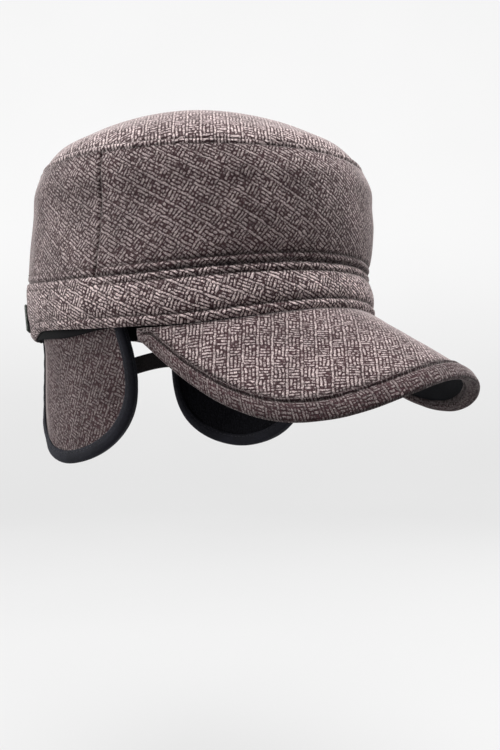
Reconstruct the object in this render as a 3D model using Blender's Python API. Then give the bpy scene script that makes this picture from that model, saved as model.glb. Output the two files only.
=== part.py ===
"""A tweed cadet cap with fold-down ear flaps and an elastic strap round the nape.

The cap faces -Y, and the wearer's right ear is at -X. The origin is the middle of the head opening,
level with the rim. Angles run from the front (0), over the wearer's right ear (90 degrees), to the
back (180), and over the left ear they are negative. A lift is a distance out of the cloth.
"""

from collections import namedtuple
from math import cos, pi, radians, sin

import bmesh
import bpy
from mathutils import Vector

# Head opening and crown
RIM_WIDTH = 0.172
RIM_LENGTH = 0.206
BAND_HEIGHT = 0.0267
WALL_HEIGHT = 0.0590
DOME_RISE = 0.0329
DOME_ROUNDNESS = 2.45
BAND_PUFF = 0.0024
BAND_PUFF_IN_FRONT = 0.3
SIDE_SEAM_ANGLE = radians(82)

# Cloth
TWEED = 0.0018
FLAP_TWEED = 0.0012
FLEECE = 0.0018
PEAK_TWEED = 0.0016
PEAK_LINING = 0.0012
BINDING = 0.0010
BINDING_ROUND = 0.0015
GAP = 0.0003

# Sweatband, which peeks out below the rim over each flap
SWEATBAND = 0.0012
SWEATBAND_DROP = 0.0052
SWEATBAND_RISE = 0.0200
SWEATBAND_DROP_ANGLES = (radians(76), radians(112), radians(143), radians(152))

# Peak
PEAK_CORNER_ANGLE = radians(73.5)
PEAK_REACH = 0.0598
PEAK_TIP_DROP = 0.0258
PEAK_ARCH = 0.0711
PEAK_BULGE = 0.0012
PEAK_SIDE_POWER = 0.94
PEAK_FRONT_POWER = 0.68
PEAK_BINDING_TOP = 0.0110
PEAK_BINDING_UNDER = 0.0080
PEAK_ROOT_INSET = 0.0011
PEAK_END_LENGTH = 0.0062
PEAK_END_CLEARANCE = 0.0034

# Ear flaps
FLAP_ANGLE = radians(105.5)
FLAP_WIDTH = 0.1118
FLAP_DROP = 0.0705
FLAP_ROOT = 0.0120
FLAP_LEAN = 0.0050
FLAP_TWIST = 0.0077
FLAP_SWEEP = 0.0059
FLAP_NECK = 0.0085
FLAP_SIDE_POWER = 1.07
FLAP_END_POWER = 0.56
FLAP_BINDING = 0.0082
FLAP_FACET = 0.0030

# Elastic strap round the nape
STRAP_WIDTH = 0.0115
STRAP_THICKNESS = 0.0012
STRAP_OVERLAP = 0.0110
STRAP_FLAP_DROP = 0.0125
STRAP_NAPE_DROP = 0.0260
STRAP_NAPE_REACH = 0.0900

# Label on the back of the band
LABEL_ANGLE = radians(138)
LABEL_WIDTH = 0.0240
LABEL_HEIGHT = 0.0145
LABEL_THICKNESS = 0.0012
LABEL_LIFT = 0.0010

# Number of facets
CROWN_SIDES = 60
SQUARE_LEVEL = 0.3
DOME_SHARES = (1.0, 0.95, 0.82, 0.64, 0.42, 0.20)
WALL_ROWS = 6
PEAK_STATIONS = 30
PEAK_ROWS = 3
PEAK_CHAIN = 60
FLAP_STATIONS = 13
FLAP_COLUMNS = 4
STRAP_STATIONS = 9
LABEL_FACETS = 3
SLOPE_STEP = 0.01
SHARP_EDGE = radians(40)

# Rings round the head. Width and length are shares of the rim's, shift of its length. Band and wall
# are shares of BAND_HEIGHT and WALL_HEIGHT, added up. Tilt, dip and lobe are waves of one, two and
# three lengths round the ring, as shares of BAND_HEIGHT.
Ring = namedtuple("Ring", "width length shift band wall tilt dip lobe")
RIM = Ring(1.000, 1.000, 0.000, 0.0, 0.0, 0.183, 0.085, 0.067)
BAND_SEAM = Ring(1.030, 0.987, 0.012, 1.0, 0.0, 0.000, 0.146, 0.000)
MID_WALL = Ring(1.006, 1.002, 0.001, 1.0, 0.5, -0.041, 0.095, 0.000)
TOP_SEAM = Ring(1.016, 0.921, -0.006, 1.0, 1.0, -0.082, 0.045, 0.000)

# Section of the band, from the rim to the seam: share of the height, share of BAND_PUFF. The two
# rows near 0.2 are the stitched groove over the rolled edge.
BandRow = namedtuple("BandRow", "height puff")
BAND_ROWS = (
    BandRow(0.00, 0.05),
    BandRow(0.07, 0.62),
    BandRow(0.16, 0.78),
    BandRow(0.21, 0.55),
    BandRow(0.32, 0.92),
    BandRow(0.62, 0.95),
    BandRow(0.90, 0.50),
    BandRow(1.00, 0.05),
)

# Colours
TWEED_COLOUR = (0.23, 0.19, 0.18)
BLACK_CLOTH_COLOUR = (0.012, 0.012, 0.015)
FLEECE_COLOUR = (0.008, 0.008, 0.010)
LABEL_COLOUR = (0.030, 0.032, 0.030)


def mixed(rings, weights):
    columns = zip(*rings)
    return Ring(*(sum(w * value for w, value in zip(weights, column)) for column in columns))


def ring_point(ring, angle):
    x = -ring.width * RIM_WIDTH / 2 * sin(angle)
    y = ring.shift * RIM_LENGTH - ring.length * RIM_LENGTH / 2 * cos(angle)
    wave = ring.tilt * cos(angle) + ring.dip * cos(2 * angle) + ring.lobe * cos(3 * angle)
    z = (ring.band + wave) * BAND_HEIGHT + ring.wall * WALL_HEIGHT
    return Vector((x, y, z))


def outward(angle):
    """The level direction out of the rim."""
    return Vector((-sin(angle) / RIM_WIDTH, -cos(angle) / RIM_LENGTH, 0)).normalized()


def eased(value, start, end):
    share = min(max((value - start) / (end - start), 0), 1)
    return share * share * (3 - 2 * share)


def spread(count, start, end):
    return [start + (end - start) * i / count for i in range(count + 1)]


def crossing(surface, u, v, step):
    """The unit normal of surface(u, v), from its slopes both ways."""
    along = surface(u + step, v) - surface(u - step, v)
    across = surface(u, v + step) - surface(u, v - step)
    return along.cross(across).normalized()


def at_length(points, share):
    """The point at a share of the length of an open chain of points."""
    lengths = [(b - a).length for a, b in zip(points, points[1:])]
    left = share * sum(lengths)
    for (a, b), length in zip(zip(points, points[1:]), lengths):
        if left <= length:
            return a.lerp(b, left / length)
        left -= length
    return points[-1].copy()


def cloth_material(name, colour, roughness):
    material = bpy.data.materials.new(name)
    material.use_nodes = True
    shader = material.node_tree.nodes["Principled BSDF"]
    shader.inputs["Base Color"].default_value = (*colour, 1)
    shader.inputs["Roughness"].default_value = roughness
    shader.inputs["Metallic"].default_value = 0
    material.diffuse_color = (*colour, 1)
    return material


def add_sheet(name, outer, inner, colour, roughness=0.9, wrap=False, pole=None, folded=False):
    """A closed wall of cloth between two grids of points, indexed [along][across].

    With wrap it runs all the way round. pole is the pair of points, outside and inside, that the
    far side closes on. folded says that the last line of the grid lies along itself.
    """
    mesh = bmesh.new()
    faces = [[[mesh.verts.new(point) for point in line] for line in grid] for grid in (outer, inner)]
    last_line = len(outer) - 1
    last_point = len(outer[0]) - 1
    lines = range(len(outer) if wrap else last_line)
    for i in lines:
        k = (i + 1) % len(outer)
        for j in range(last_point):
            for side in faces:
                mesh.faces.new((side[i][j], side[i][j + 1], side[k][j + 1], side[k][j]))
        for j in (0,) if pole else (0, last_point):
            mesh.faces.new((faces[0][i][j], faces[0][k][j], faces[1][k][j], faces[1][i][j]))
    if pole:
        for side, point in zip(faces, pole):
            middle = mesh.verts.new(point)
            for i in lines:
                mesh.faces.new((side[i][-1], side[(i + 1) % len(outer)][-1], middle))
    if not wrap:
        for i in (0,) if folded else (0, last_line):
            for j in range(last_point):
                outer_side, inner_side = (side[i][j : j + 2] for side in faces)
                mesh.faces.new(outer_side + inner_side[::-1])
    bmesh.ops.remove_doubles(mesh, verts=mesh.verts, dist=1e-6)
    bmesh.ops.recalc_face_normals(mesh, faces=mesh.faces)
    data = bpy.data.meshes.new(name)
    mesh.to_mesh(data)
    mesh.free()
    data.shade_smooth()
    data.set_sharp_from_angle(angle=SHARP_EDGE)
    piece = bpy.data.objects.new(name, data)
    piece.data.materials.append(cloth_material(name, colour, roughness))
    bpy.context.scene.collection.objects.link(piece)
    return piece


def crown_ring(level):
    """The ring at a level of the crown: 0 at the band seam, 1 at the top seam, 2 in the middle on top."""
    if level <= 1:
        weights = ((1 - level) * (1 - 2 * level), 4 * level * (1 - level), level * (2 * level - 1))
        return mixed((BAND_SEAM, MID_WALL, TOP_SEAM), weights)
    reach = 2 - level
    return TOP_SEAM._replace(
        width=TOP_SEAM.width * reach,
        length=TOP_SEAM.length * reach,
        tilt=TOP_SEAM.tilt * reach,
        dip=TOP_SEAM.dip * reach**2,
    )


def crown_point(angle, level):
    point = ring_point(crown_ring(level), angle)
    if level > 1:
        point.z += DOME_RISE * (1 - abs(2 - level) ** DOME_ROUNDNESS)
    return point


def crown_inside(angle, level):
    """The point inside the wall: level with crown_point at the band, square to it from SQUARE_LEVEL."""
    normal = crossing(crown_point, angle, level, SLOPE_STEP)
    normal = normal if normal.dot(outward(angle) + Vector((0, 0, 1))) > 0 else -normal
    normal.z *= eased(level, 0, SQUARE_LEVEL)
    return crown_point(angle, level) - TWEED * normal.normalized()


def crown_grid(angles, levels):
    outer = [[crown_point(angle, level) for level in levels] for angle in angles]
    inner = [[crown_inside(angle, level) for level in levels] for angle in angles]
    return outer, inner


def panel_angles():
    """Angles across the front panel and across the back one, between the side seams."""
    in_front = round(CROWN_SIDES * SIDE_SEAM_ANGLE / pi)
    front = spread(in_front, -SIDE_SEAM_ANGLE, SIDE_SEAM_ANGLE)
    back = spread(CROWN_SIDES - in_front, SIDE_SEAM_ANGLE, 2 * pi - SIDE_SEAM_ANGLE)
    return front, back


def angles_round():
    front, back = panel_angles()
    return front[:-1] + back[:-1]


def add_crown_wall(name, angles):
    """A wall panel, kept half a gap short of each seam."""
    seam = GAP / RIM_WIDTH
    angles = [angles[0] + seam, *angles[1:-1], angles[-1] - seam]
    levels = spread(WALL_ROWS, 0.5 * GAP / WALL_HEIGHT, 1 - 0.5 * GAP / WALL_HEIGHT)
    add_sheet(name, *crown_grid(angles, levels), TWEED_COLOUR)


def add_crown_top():
    edge = GAP / RIM_WIDTH
    levels = [2 - share * (1 - edge) for share in DOME_SHARES]
    top = crown_point(0, 2)
    pole = (top, top - Vector((0, 0, TWEED)))
    add_sheet("crown_top", *crown_grid(angles_round(), levels), TWEED_COLOUR, wrap=True, pole=pole)


def band_point(angle, height, puff, lift):
    """A point at a share of the band's height. It is puffed out most at the back."""
    behind = (1 - cos(angle)) / 2
    full = BAND_PUFF * (BAND_PUFF_IN_FRONT + (1 - BAND_PUFF_IN_FRONT) * behind)
    middle = ring_point(mixed((RIM, BAND_SEAM), (1 - height, height)), angle)
    return middle + (puff * full + lift) * outward(angle)


def add_band():
    top = 1 - 0.5 * GAP / BAND_HEIGHT
    grids = ([], [])
    for angle in angles_round():
        for grid, lift in zip(grids, (0, -TWEED)):
            grid.append([band_point(angle, min(row.height, top), row.puff, lift) for row in BAND_ROWS])
    add_sheet("band", *grids, TWEED_COLOUR, wrap=True)


def sweatband_point(angle, height, lift):
    """A point at a height in metres over the rim, on the face of the band that looks inward."""
    share = max(height, 0) / BAND_HEIGHT
    point = ring_point(mixed((RIM, BAND_SEAM), (1 - share, share)), angle)
    point.z += min(height, 0)
    return point - (TWEED + GAP - lift) * outward(angle)


def add_sweatband():
    outer, inner = [], []
    for angle in angles_round():
        away = abs((angle + pi) % (2 * pi) - pi)
        start, full, last, end = SWEATBAND_DROP_ANGLES
        drop = SWEATBAND_DROP * eased(away, start, full) * (1 - eased(away, last, end))
        heights = (GAP - drop, 0.5 * SWEATBAND_RISE, SWEATBAND_RISE)
        outer.append([sweatband_point(angle, height, 0) for height in heights])
        inner.append([sweatband_point(angle, height, -SWEATBAND) for height in heights])
    add_sheet("sweatband", outer, inner, BLACK_CLOTH_COLOUR, 0.7, wrap=True)


class Peak:
    """The middle layer of the peak, between the rim and the free edge.

    u runs from corner to corner (-1 to 1) and w from the rim (0) to the edge (1).
    """

    HALF = (PEAK_TWEED + GAP + PEAK_LINING) / 2

    def __init__(self):
        turns = spread(PEAK_CHAIN, 0, 1)
        corner = ring_point(RIM, PEAK_CORNER_ANGLE)
        tip_y = -RIM_LENGTH / 2 - PEAK_REACH
        slope = (corner.z + PEAK_ARCH + PEAK_TIP_DROP) / (corner.y - tip_y)
        self.root = [self.root_point(turn * PEAK_CORNER_ANGLE) for turn in turns]
        self.edge = []
        for turn in turns:
            x = corner.x * sin(turn * pi / 2) ** PEAK_SIDE_POWER
            y = corner.y + (tip_y - corner.y) * max(cos(turn * pi / 2), 0) ** PEAK_FRONT_POWER
            z = slope * (y - tip_y) - PEAK_TIP_DROP - PEAK_ARCH * (x / corner.x) ** 2
            self.edge.append(Vector((x, y, z)))
        self.end = max(turn for turn in turns if self.length(sin(turn * pi / 2)) > PEAK_END_LENGTH)

    def root_point(self, angle):
        """A point under the edge of the band."""
        point = ring_point(RIM, angle) - PEAK_ROOT_INSET * outward(angle)
        point.z -= 2 * GAP + self.HALF
        return point

    def line(self, u):
        ends = [at_length(chain, abs(u)) for chain in (self.root, self.edge)]
        return [Vector((end.x if u > 0 else -end.x, end.y, end.z)) for end in ends]

    def length(self, u):
        root, edge = self.line(u)
        return (edge - root).length

    def middle(self, u, w):
        root, edge = self.line(u)
        share = (edge - root).length / PEAK_REACH
        return root.lerp(edge, w) + Vector((0, 0, PEAK_BULGE * share * 4 * w * (1 - w)))

    def point(self, u, inset, lift):
        """The point an inset back from the free edge."""
        w = 1 - inset / self.length(u)
        normal = crossing(self.middle, u, w, SLOPE_STEP)
        return self.middle(u, w) + lift * (normal if normal.z > 0 else -normal)


def bound_section(half, top, under):
    """Section of a strip folded over an edge, as (inset, lift) pairs outside and inside."""
    grids = []
    for corner, depth, bend, lift in (
        (BINDING_ROUND, 0, 0.5, half + GAP + BINDING),
        (BINDING + GAP, BINDING, 0.75, half + GAP),
    ):
        above = [(top, lift), (corner, lift), (depth, bend * lift)]
        below = [(depth, -bend * lift), (corner, -lift), (under, -lift)]
        grids.append(above + below)
    return grids


def add_peak():
    peak = Peak()
    stations = [sin(turn * pi / 2) for turn in spread(PEAK_STATIONS, -peak.end, peak.end)]
    layers = (
        ("peak_top", Peak.HALF, Peak.HALF - PEAK_TWEED, TWEED_COLOUR, PEAK_BINDING_TOP),
        ("peak_underside", PEAK_LINING - Peak.HALF, -Peak.HALF, BLACK_CLOTH_COLOUR, PEAK_BINDING_UNDER),
    )
    for name, high, low, colour, bound_width in layers:
        grids = ([], [])
        for u in stations:
            length = peak.length(u)
            bound = min(bound_width, length - PEAK_END_CLEARANCE)
            insets = spread(PEAK_ROWS, length, bound) + [BINDING + 4 * GAP]
            for grid, lift in zip(grids, (high, low)):
                grid.append([peak.point(u, inset, lift) for inset in insets])
        add_sheet(name, *grids, colour)
    grids = ([], [])
    for u in stations:
        length = peak.length(u)
        widths = (PEAK_BINDING_TOP, PEAK_BINDING_UNDER)
        widths = [min(width, length - PEAK_END_CLEARANCE) for width in widths]
        sections = bound_section(Peak.HALF, *widths)
        for grid, section in zip(grids, sections):
            grid.append([peak.point(u, inset, lift) for inset, lift in section])
    add_sheet("peak_binding", *grids, TWEED_COLOUR)


class Flap:
    """The middle layer of an ear flap. s runs back along the rim from the flap's middle, h down.

    side is 1 over the wearer's right ear and -1 over the left.
    """

    HALF = (FLAP_TWEED + GAP + FLEECE) / 2
    INSET = TWEED + GAP + SWEATBAND + GAP + BINDING + GAP + HALF
    RADIUS = (RIM_WIDTH + RIM_LENGTH) / 4

    def __init__(self, side):
        self.side = side

    def middle(self, s, h):
        below = max(h - SWEATBAND_DROP, 0) / (FLAP_DROP - SWEATBAND_DROP)
        angle = self.side * (FLAP_ANGLE + (s + FLAP_SWEEP * below) / self.RADIUS)
        point = ring_point(RIM, angle) - (self.INSET + FLAP_LEAN * below) * outward(angle)
        point.x -= self.side * FLAP_TWIST * below * s / (FLAP_WIDTH / 2)
        point.z -= h
        return point

    def point(self, s, h, lift):
        normal = crossing(self.middle, s, h, 0.001)
        return self.middle(s, h) + lift * (normal if normal.x * self.side < 0 else -normal)

    def outline(self, station, inset):
        """(s, h) on the outline: station 0 is the root at the back, 1 the tip, 2 the root in front."""
        turn = 1 - abs(1 - station)
        back = 1 if station <= 1 else -1
        angle = pi / 2 * max(turn, 0) ** 2
        h = (FLAP_DROP - inset) * sin(angle) ** FLAP_END_POWER
        neck = FLAP_NECK * (1 - h / FLAP_DROP) ** 3 if station > 1 else 0
        s = back * (FLAP_WIDTH / 2 - neck - inset) * max(cos(angle), 0) ** FLAP_SIDE_POWER
        return s, h if turn >= 0 else -FLAP_ROOT


def add_flap(side, name):
    flap = Flap(side)
    down = [-1] + spread(FLAP_STATIONS, 0, 1)
    layers = (
        ("cloth", Flap.HALF, Flap.HALF - FLAP_TWEED, TWEED_COLOUR),
        ("fleece", FLEECE - Flap.HALF, -Flap.HALF, FLEECE_COLOUR),
    )
    for layer, high, low, colour in layers:
        grids = ([], [])
        for station in down:
            insets = (BINDING + 2 * GAP, FLAP_FACET, FLAP_BINDING)
            back = [flap.outline(station, inset) for inset in insets]
            front = [flap.outline(2 - station, inset) for inset in reversed(insets)]
            (s0, h0), (s1, h1) = back[-1], front[0]
            shares = spread(FLAP_COLUMNS, 0, 1)[1:-1]
            between = [(s0 + (s1 - s0) * share, h0 + (h1 - h0) * share) for share in shares]
            for grid, lift in zip(grids, (high, low)):
                grid.append([flap.point(s, h, lift) for s, h in back + between + front])
        add_sheet(f"{name}_{layer}", *grids, colour, folded=True)
    grids = ([], [])
    for station in down + [2 - station for station in reversed(down[:-1])]:
        for grid, section in zip(grids, bound_section(Flap.HALF, FLAP_BINDING, FLAP_BINDING)):
            line = []
            for inset, lift in section:
                s, h = flap.outline(station, inset)
                line.append(flap.point(s, h, lift))
            grid.append(line)
    add_sheet(f"{name}_binding", *grids, BLACK_CLOTH_COLOUR, 0.6)


def strap_path():
    """Points of the strap, with its way up, from inside the right flap to the middle of the nape."""
    flap = Flap(1)
    lift = -(Flap.HALF + GAP + BINDING + GAP + STRAP_THICKNESS / 2)
    edge = FLAP_WIDTH / 2
    held = [flap.point(s, STRAP_FLAP_DROP, lift) for s in spread(2, edge - STRAP_OVERLAP, edge)]
    half = STRAP_WIDTH / 2
    top, bottom = (flap.point(edge, STRAP_FLAP_DROP + drop, lift) for drop in (-half, half))
    flap_up = (top - bottom).normalized()
    nape = Vector((0, STRAP_NAPE_REACH, -STRAP_NAPE_DROP))
    leave = (held[-1] - held[0]).normalized()
    reach = (nape - held[-1]).length
    path = [(point, flap_up) for point in held]
    for t in spread(STRAP_STATIONS, 0, 1)[1:]:
        pull = reach * (t * (1 - t) ** 2 * leave - t * t * (1 - t) * Vector((1, 0, 0)))
        point = held[-1].lerp(nape, eased(t, 0, 1)) + pull
        path.append((point, flap_up.lerp(Vector((0, 0, 1)), t).normalized()))
    return path


def add_strap():
    right = strap_path()
    mirror = Vector((-1, 1, 1))
    path = right + [(point * mirror, up * mirror) for point, up in reversed(right[:-1])]
    grids = ([], [])
    for i, (point, up) in enumerate(path):
        along = path[min(i + 1, len(path) - 1)][0] - path[max(i - 1, 0)][0]
        out = up.cross(along).normalized()
        for grid, lift in zip(grids, (STRAP_THICKNESS / 2, -STRAP_THICKNESS / 2)):
            grid.append([point + share * STRAP_WIDTH * up + lift * out for share in (0.5, 0, -0.5)])
    add_sheet("nape_strap", *grids, BLACK_CLOTH_COLOUR, 0.75)


def add_label():
    turn = LABEL_WIDTH / RIM_LENGTH
    angles = spread(LABEL_FACETS, LABEL_ANGLE - turn, LABEL_ANGLE + turn)
    low = LABEL_LIFT / BAND_HEIGHT
    heights = spread(LABEL_FACETS, low, low + LABEL_HEIGHT / BAND_HEIGHT)
    outer = [[band_point(a, h, 1, GAP + LABEL_THICKNESS) for h in heights] for a in angles]
    inner = [[band_point(a, h, 1, GAP) for h in heights] for a in angles]
    add_sheet("back_label", outer, inner, LABEL_COLOUR, 0.6)


for item in list(bpy.data.objects):
    bpy.data.objects.remove(item)

add_crown_top()
for name, angles in zip(("crown_front", "crown_back"), panel_angles()):
    add_crown_wall(name, angles)
add_band()
add_sweatband()
add_peak()
add_flap(1, "right_flap")
add_flap(-1, "left_flap")
add_strap()
add_label()
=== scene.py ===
"""The looks of a tweed cadet cap with fold-down ear flaps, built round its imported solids.

The cap faces -Y and the wearer's right ear is at -X. Angles run from the front (0), over the right ear
(90 degrees), to the back (180). Every cloth carries the attribute "cloth": its own flat coordinates in
metres, turned to the grain that the piece is cut on, which all the weaves read.
"""

from math import pi, radians

import bpy
import numpy as np
from mathutils import Matrix


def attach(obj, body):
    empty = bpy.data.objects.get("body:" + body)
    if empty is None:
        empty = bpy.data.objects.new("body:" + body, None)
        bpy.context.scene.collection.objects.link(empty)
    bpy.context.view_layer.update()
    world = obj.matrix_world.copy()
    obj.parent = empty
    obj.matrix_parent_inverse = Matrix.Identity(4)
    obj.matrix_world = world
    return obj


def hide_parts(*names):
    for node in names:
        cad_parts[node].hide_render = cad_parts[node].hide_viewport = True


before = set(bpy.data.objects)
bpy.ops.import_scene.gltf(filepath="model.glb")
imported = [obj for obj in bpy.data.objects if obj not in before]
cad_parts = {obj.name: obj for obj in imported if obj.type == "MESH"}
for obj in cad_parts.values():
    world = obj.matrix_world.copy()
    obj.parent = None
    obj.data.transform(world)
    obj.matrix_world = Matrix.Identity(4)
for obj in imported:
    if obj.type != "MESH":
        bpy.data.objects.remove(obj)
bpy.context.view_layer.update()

MM = 0.001

# Head opening and crown
RIM_WIDTH = 0.172
RIM_LENGTH = 0.206
HEAD_RADIUS = (RIM_WIDTH + RIM_LENGTH) / 4
BAND_HEIGHT = 0.0267
WALL_HEIGHT = 0.0590
DOME_RISE = 0.0329
DOME_ROUNDNESS = 2.58
SHOULDER = 0.0014
SHOULDER_REACH = 0.0090
SHOULDER_FULLNESS = 0.0011
SHOULDER_CREASE = 0.0004
CREASE_REACH = 0.0040
FULLNESS_DISTANCE = 0.0120
FULLNESS_REACH = 0.0070
BAND_PUFF = 0.0024
BAND_PUFF_IN_FRONT = 0.3
NAPE_DIP = 0.0040
FRONT_DIP = 0.0008
SIDE_SEAM_ANGLE = radians(82)

# Cloth
TWEED = 0.0018
FLAP_TWEED = 0.0012
FLEECE = 0.0018
PEAK_TWEED = 0.0016
PEAK_LINING = 0.0012
BINDING = 0.0010
GAP = 0.0003

# Sweatband
SWEATBAND = 0.0012
SWEATBAND_DROP = 0.0048
SWEATBAND_RISE = 0.0200
SWEATBAND_DROP_ANGLES = (radians(76), radians(103), radians(143), radians(152))

# Peak
PEAK_CORNER_ANGLE = radians(73.5)
PEAK_REACH = 0.0598
PEAK_TIP_DROP = 0.0258
PEAK_ARCH = 0.0711
PEAK_BULGE = 0.0012
PEAK_SIDE_POWER = 0.94
PEAK_FRONT_POWER = 0.68
PEAK_BINDING_TOP = 0.0110
PEAK_BINDING_UNDER = 0.0080
PEAK_ROOT_INSET = 0.0011
PEAK_END_LENGTH = 0.0045
PEAK_END_CLEARANCE = 0.0026

# Ear flaps
FLAP_ANGLE = radians(105.5)
FLAP_WIDTH = 0.1118
FLAP_DROP = 0.0705
FLAP_ROOT = 0.0120
FLAP_LEAN = 0.0050
FLAP_TWIST = 0.0077
FLAP_SWEEP = 0.0055
FLAP_TUCK = 0.0019
FLAP_NECK = 0.0085
FLAP_BACK_POWER = 1.07
FLAP_FRONT_POWER = 1.16
FLAP_END_POWER = 0.56
TAPE_AT_ROOT = 0.0047
TAPE_AT_TIP = 0.0072

# Strap and label
STRAP_WIDTH = 0.0115
STRAP_THICKNESS = 0.0012
STRAP_OVERLAP = 0.0110
STRAP_FLAP_DROP = 0.0125
STRAP_NAPE_DROP = 0.0260
STRAP_NAPE_REACH = 0.0900
LABEL_ANGLE = radians(138)
LABEL_WIDTH = 0.0240
LABEL_HEIGHT = 0.0145
LABEL_THICKNESS = 0.0012
LABEL_LIFT = 0.0010

# Rings round the head, columns: width, length, shift, band, wall, tilt, dip, lobe
RIM = np.array((1.000, 1.000, 0.000, 0.0, 0.0, 0.183, 0.085, 0.067))
BAND_SEAM = np.array((1.030, 0.987, 0.012, 1.0, 0.0, 0.000, 0.146, 0.000))
MID_WALL = np.array((1.006, 1.002, 0.001, 1.0, 0.5, -0.041, 0.095, 0.000))
TOP_SEAM = np.array((1.016, 0.921, -0.006, 1.0, 1.0, -0.082, 0.045, 0.000))

# Section of the band: share of the height, share of BAND_PUFF
BAND_SECTION = np.array(
    (
        (0.00, 0.05),
        (0.07, 0.62),
        (0.16, 0.80),
        (0.21, 0.70),
        (0.32, 0.92),
        (0.62, 0.95),
        (0.90, 0.50),
        (1.00, 0.05),
    )
)

# Seams: the stitches, how far from the seam they run, and the grooves that stitching and seam pull in
STITCH_PITCH = 0.0029
STITCH_LENGTH = 0.0022
TOP_STITCH = 0.0046
BAND_STITCH = 0.0043
RIM_STITCH = 0.0050
PEAK_STITCH = 0.0087
GROOVE_WIDTH = 0.00085
GROOVE_DEPTH = 0.0009
TUCK_WIDTH = 0.0009
TUCK_DEPTH = 0.0013
ROLL = 0.0006
VALLEY_WIDTH = 0.0085
VALLEY_DEPTH = 0.0007
STITCH_SHADE = 0.0009
TAPE_STITCH = 0.0013

# Ridges and grooves beside each seam, columns: height, distance from the seam, width
WALL_TOP_EDGE = ((-0.0006, 0, 0.0008),)
SIDE_SEAM = ((-0.0009, 0, 0.0008), (0.00015, 0.0018, 0.0009))
TOP_EDGE = ((-0.0010, 0, 0.0008),)
TOP_WELT = ((0.0007, 0.0023, 0.0014), (-0.0009, TOP_STITCH, GROOVE_WIDTH))
RIM_EDGE = ((-0.0004, 0, 0.0009),)
RIM_WELT = ((0.0006, RIM_STITCH / 2, 0.0016), (-0.0013, RIM_STITCH, GROOVE_WIDTH))
BAND_BELLY = ((0.0010, 0.0115, 0.0070),)
BAND_TOP_EDGE = ((-0.0009, 0, 0.0007),)
BAND_WELT = ((0.0008, 0.0020, 0.0013), (-0.0010, BAND_STITCH, GROOVE_WIDTH), (-0.0009, 0, VALLEY_WIDTH))
STRIP_EDGE = ((-0.0012, 0, 0.0008),)
STRIP_WELT = ((0.0004, 0.0012, 0.0007),)
STRIP_GROOVE = ((-0.0012, 0, 0.0008),)
STRIP_ROLL = ((0.0006, 0.0050, 0.0026),)
TAPE_RELIEF = ((-0.0008, 0, 0.0008), (0.0004, 0.0050, 0.0028), (-0.0004, TAPE_STITCH, 0.0005))

# Uneven swells of each cloth, columns: height, size
WALL_SWELLS = ((0.00035, 0.060), (0.00012, 0.018))
TOP_SWELLS = ((0.0004, 0.070),)
BAND_SWELLS = ((0.00025, 0.045), (0.00010, 0.014))
SWEATBAND_SWELLS = ((0.00012, 0.020),)
PEAK_SWELLS = ((0.00035, 0.050), (0.00010, 0.015))
STRIP_SWELLS = ((0.00015, 0.020),)
FLAP_SWELLS = ((0.0004, 0.035), (0.00012, 0.012))
TAPE_SWELLS = ((0.0002, 0.018),)

# Gathers along each seam: height, pitch, reach
WALL_TOP_GATHERS = (0.00022, 0.0062, 0.006)
WALL_BAND_GATHERS = (0.00024, 0.0066, 0.006)
SIDE_GATHERS = (0.00012, 0.0080, 0.004)
TOP_GATHERS = (0.00020, 0.0062, 0.006)
RIM_GATHERS = (0.00024, 0.0068, 0.006)
BAND_TOP_GATHERS = (0.00020, 0.0062, 0.006)
STRIP_GATHERS = (0.00014, 0.0075, 0.005)
TAPE_GATHERS = (0.00016, 0.0070, 0.006)

# How far each cloth's grain is turned on its piece, in degrees
WALL_GRAIN = 57
BAND_GRAIN = 62
TOP_GRAIN = 47
PEAK_GRAIN = 40
EDGE_GRAIN = 0
FLAP_GRAIN = -24

# Rows near a seam, as distances from it, and the spacing of the others
SEAM_ROWS = MM * np.array(
    (0, 0.15, 0.35, 0.6, 0.9, 1.3, 1.8, 2.3, 2.8, 3.2, 3.6, 4.0, 4.4, 4.8, 5.2, 5.6, 6.2, 7.2)
)
ROW_STEP = 0.0025
ALL_ROUND = np.linspace(0, 2 * pi, 288, endpoint=False)
UP = np.array((0.0, 0.0, 1.0))

# Camera: place, way it looks, way to its right, and lens for a 36 mm long side
CAMERA_PLACE = (-0.36568, -0.34100, -0.02269)
CAMERA_LOOK = (0.76987, 0.63818, -0.00576)
CAMERA_RIGHT = (0.63819, -0.76988, 0.00044)
CAMERA_LENS = 41.76

# Studio
FLOOR_DROP = 0.30
FLOOR_RADIUS = 1.15
COVE_RADIUS = 0.65
WALL_TOP = 2.4


# Shapes


def ring_point(rings, angle):
    width, length, shift, band, wall, tilt, dip, lobe = np.moveaxis(rings, -1, 0)
    x = -width * RIM_WIDTH / 2 * np.sin(angle)
    y = shift * RIM_LENGTH - length * RIM_LENGTH / 2 * np.cos(angle)
    wave = tilt * np.cos(angle) + dip * np.cos(2 * angle) + lobe * np.cos(3 * angle)
    z = (band + wave) * BAND_HEIGHT + wall * WALL_HEIGHT
    return np.stack(np.broadcast_arrays(x, y, z), -1)


def outward(angle):
    """The level direction out of the rim."""
    flat = np.stack((-np.sin(angle) / RIM_WIDTH, -np.cos(angle) / RIM_LENGTH, 0 * angle), -1)
    return unit(flat)


def unit(vectors):
    return vectors / np.maximum(np.linalg.norm(vectors, axis=-1, keepdims=True), 1e-12)


def eased(value, start, end):
    share = np.clip((value - start) / (end - start), 0, 1)
    return share * share * (3 - 2 * share)


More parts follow.
